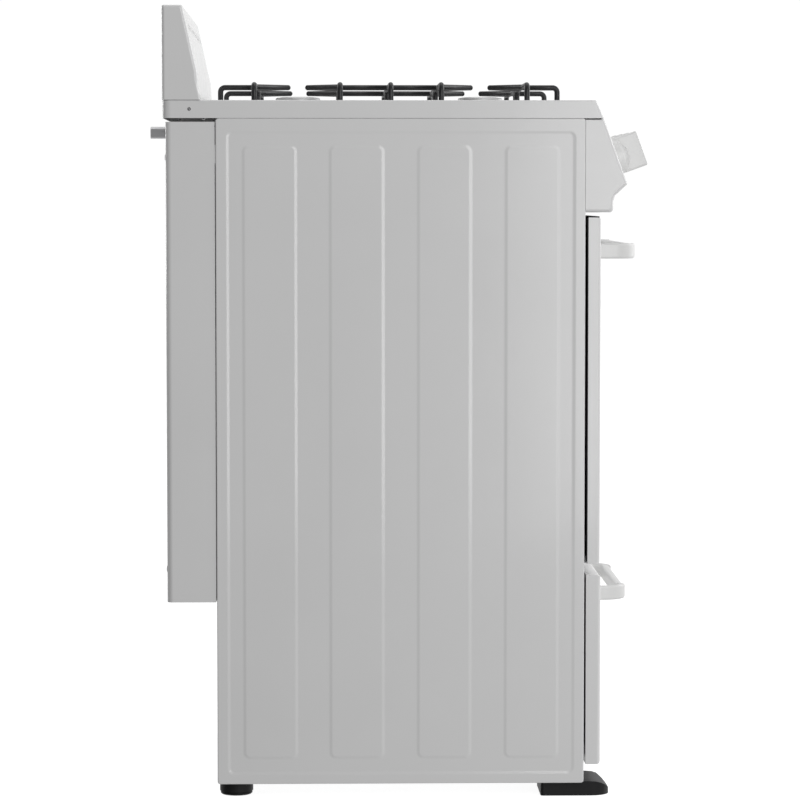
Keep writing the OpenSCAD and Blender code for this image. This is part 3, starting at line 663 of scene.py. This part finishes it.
def dial_marks():
    """Printed marks round each knob: a dot at off and a swelling row of ticks."""
    parts = []
    ink = (-0.1 * MM, 0.05 * MM)
    dot = [(0, ink[0]), (1.5 * MM, ink[0]), (1.5 * MM, ink[1]), (0, ink[1])]
    for at in KNOBS.values():
        turn = on_panel(at)
        parts.append(placed(lathe(dot, 24), turn @ Matrix.Translation((0, 29.5 * MM, 0))))
        for i in range(9):
            wide, angle = (0.35 + 0.09 * i) * MM, math.radians(-45 - 28 * i)
            tick = block((-wide, 27.2 * MM, ink[0]), (wide, 31.2 * MM, ink[1]), 0.3 * MM)
            parts.append(placed(tick, turn @ Matrix.Rotation(angle, 4, "Z")))
    piece("dial_marks", merged(parts), "black_plastic", "cabinet", smooth=False)


# backguard outline: y, z and corner radius in mm
GUARD = [(258.2, 914.2, 0.4), (308.5, 914.2, 0.4), (308.5, 1036.6, 2.5), (281.6, 1036.6, 3.5),
         (262.6, 950, 20), (261.6, 931, 6)]
SLOT_GROUPS, SLOTS_EACH = 8, 5
SLOT_LOW, SLOT_HIGH, SLOT_W = 1006.6 * MM, 1015.6 * MM, 3 * MM


def backguard():
    """Low sloped backguard with rounded ends and eight groups of vent slots, each with a black block at its back
    as painted shade.
    """
    corners = [(a * MM, b * MM, r * MM) for a, b, r in GUARD]
    shell = rounded_prism(corners, [0, 1, 1, 1, 1, 0.6], 4.5 * MM)
    obj = piece("backguard_shell", shell, "white_enamel", "cabinet", "backguard")
    slots, slot_shades = [], []
    play = 0.05 * MM
    for group in range(SLOT_GROUPS):
        for i in range(SLOTS_EACH):
            x = (-206 + group * 54.5 + i * 7) * MM
            slots.append(block((x, 262 * MM, SLOT_LOW), (x + SLOT_W, 296 * MM, SLOT_HIGH), 0.2 * MM))
            low = (x + play, 284 * MM, SLOT_LOW + play)
            high = (x + SLOT_W - play, 295.9 * MM, SLOT_HIGH - play)
            slot_shades.append(block(low, high, 0.2 * MM))
    combine(obj, merged(slots))
    settle(obj)
    # the black blocks at the back of the slots paint the shade inside the vents; they stand in for the vent baffle
    piece("vent_slot_painted_shade", merged(slot_shades), "black_enamel", "cabinet", "vent_baffle", smooth=False)


BURNERS = [(x, y) for x in (-BURNER_X, BURNER_X) for y in BURNER_YS]
DISH_Z = 902.5 * MM


def burners():
    """Cast heads with a crown of flame ports under enamelled caps."""
    heads, caps = [], []
    segments = 192
    bore_r, head_top, head_top_r = 12.0, 13.2, 31.0
    ring = [(33.0, 0.0, 0), (33.0, 2.6, 0), (32.2, 4.2, 0), (31.9, 4.8, 1), (31.6, 10.4, 1), (31.4, 11.0, 0),
            (head_top_r, head_top, 0)]
    for x, y in BURNERS:
        angles = [2 * math.pi * i / segments for i in range(segments)]
        rings = [[(bore_r * MM * math.cos(a), bore_r * MM * math.sin(a), 0) for a in angles]]
        for r, z, port in ring:
            row = []
            for i, a in enumerate(angles):
                deep = 2.2 if port and i % 6 in (1, 2, 3) else 0
                row.append(((r - deep) * MM * math.cos(a), (r - deep) * MM * math.sin(a), z * MM))
            rings.append(row)
        inward = bore_r / head_top_r
        rings.append([(p[0] * inward, p[1] * inward, head_top * MM) for p in rings[-1]])
        heads.append(placed(loft(rings + [rings[0]], False, False), Matrix.Translation((x, y, DISH_Z))))
        cap = arc_profile([(r * MM, z * MM, c * MM) for r, z, c in (
            (0, 13.2, 0), (30.2, 13.2, 0.5), (29.4, 17.6, 2.2), (20, 18.9, 8), (0, 19.5, 0))])
        caps.append(placed(lathe(cap, 96), Matrix.Translation((x, y, DISH_Z))))
    settle(piece("burner_crowns", merged(heads), SLOT_OF["burner_heads"], "cabinet", "burner_heads"), 40)
    settle(piece("burner_lids", merged(caps), SLOT_OF["burner_caps"], "cabinet", "burner_caps"), 40)


def door_top_shade_strip():
    """Black strip with vent slots along the door's top edge; its black is painted shade for the shadowed gap under
    the control panel.
    """
    body = block((-248 * MM, -260.5 * MM, 760.6 * MM), (248 * MM, -246.2 * MM, 763.4 * MM), 2 * MM)
    # the black plastic paints the shade that falls on the door's top under the control panel
    obj = piece("door_top_painted_shade", body, "black_plastic", "oven_door")
    slots = []
    for i in range(30):
        x = (-236 + 16 * i) * MM
        slots.append(block((x, -256.5 * MM, 762.4 * MM), (x + 10 * MM, -250.5 * MM, 765 * MM), 1 * MM))
    combine(obj, merged(slots))
    settle(obj)


make_camera()
make_stage()
make_lights()
LOOKS = make_materials()
dress_nodes(LOOKS)
side_panel(-1, "side_panel_left")
side_panel(1, "side_panel_right")
cooktop()
control_panel()
knobs()
dial_marks()
backguard()
burners()
door_top_shade_strip()
